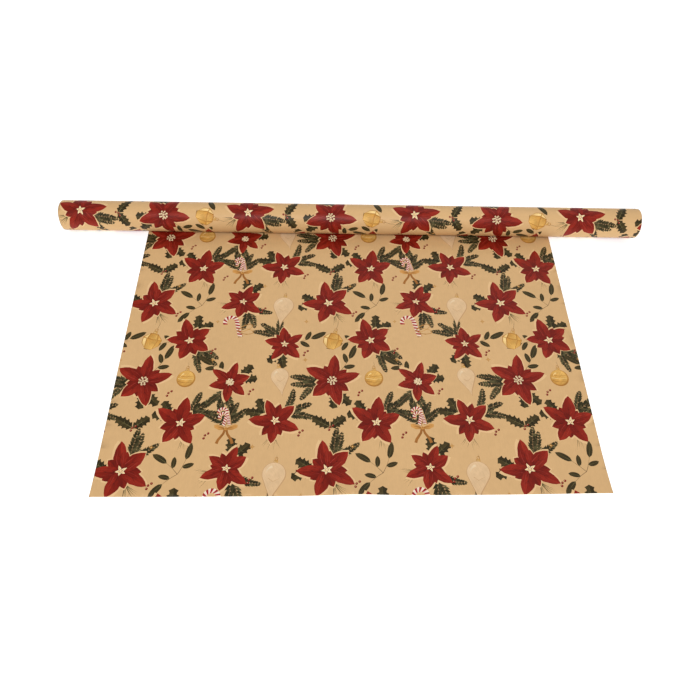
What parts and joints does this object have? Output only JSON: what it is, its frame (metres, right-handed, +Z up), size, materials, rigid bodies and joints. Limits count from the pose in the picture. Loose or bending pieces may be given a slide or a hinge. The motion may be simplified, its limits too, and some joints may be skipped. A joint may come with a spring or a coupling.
{
  "type": "wrapping paper roll",
  "caption": "Roll of gift-wrap sheets wound on a cardboard core, lying across a loose folded sheet of the same patterned paper.",
  "frame": {"origin": "the middle of the core's bore, on the roll's axis", "axes": "+X along the roll, -Y towards the loose sheet's open edge, +Z up from the face the paper rests on"},
  "size_m": [0.7018, 0.3618, 0.0365],
  "materials": {
    "cardboard": "matt grey-brown board",
    "printed_paper": "satin-coated paper, printed on one side"
  },
  "bodies": {
    "core": {"core_inner_ply": "cardboard", "core_middle_ply": "cardboard", "core_outer_ply": "cardboard"},
    "rolled_sheets": {"rolled_sheet_1": "printed_paper", "rolled_sheet_2": "printed_paper", "rolled_sheet_3": "printed_paper", "rolled_sheet_4": "printed_paper", "rolled_sheet_5": "printed_paper", "rolled_sheet_6": "printed_paper", "rolled_sheet_7": "printed_paper", "rolled_sheet_8": "printed_paper", "outer_sheet": "printed_paper"},
    "free_edge": {"outer_sheet_free_edge": "printed_paper"},
    "loose_front": {"loose_sheet_front_half": "printed_paper"},
    "loose_rear": {"loose_sheet_rear_half": "printed_paper"}
  },
  "joints": [
    {"name": "roll_spin", "type": "hinge", "parent": "core", "child": "rolled_sheets", "pos_m": [0, 0, 0], "axis": [1, 0, 0], "range_deg": [0, 900]},
    {"name": "sheet_slide", "type": "slide", "parent": "core", "child": "loose_front", "axis": [0, 1, 0], "range_m": [0, 0.283]},
    {"name": "free_edge_lift", "type": "hinge", "parent": "rolled_sheets", "child": "free_edge", "pos_m": [0, 0.0103, -0.01501], "axis": [-1, 0, 0], "range_deg": [0, 60]},
    {"name": "fold_open", "type": "hinge", "parent": "loose_front", "child": "loose_rear", "pos_m": [-0.00278, 0.01468, -0.01862], "axis": [0.9999, 0.0157, 0], "range_deg": [0, 180]}
  ],
  "couplings": [
    {"joint": "sheet_slide", "follows": "roll_spin", "m_per_rad": 0.018}
  ]
}
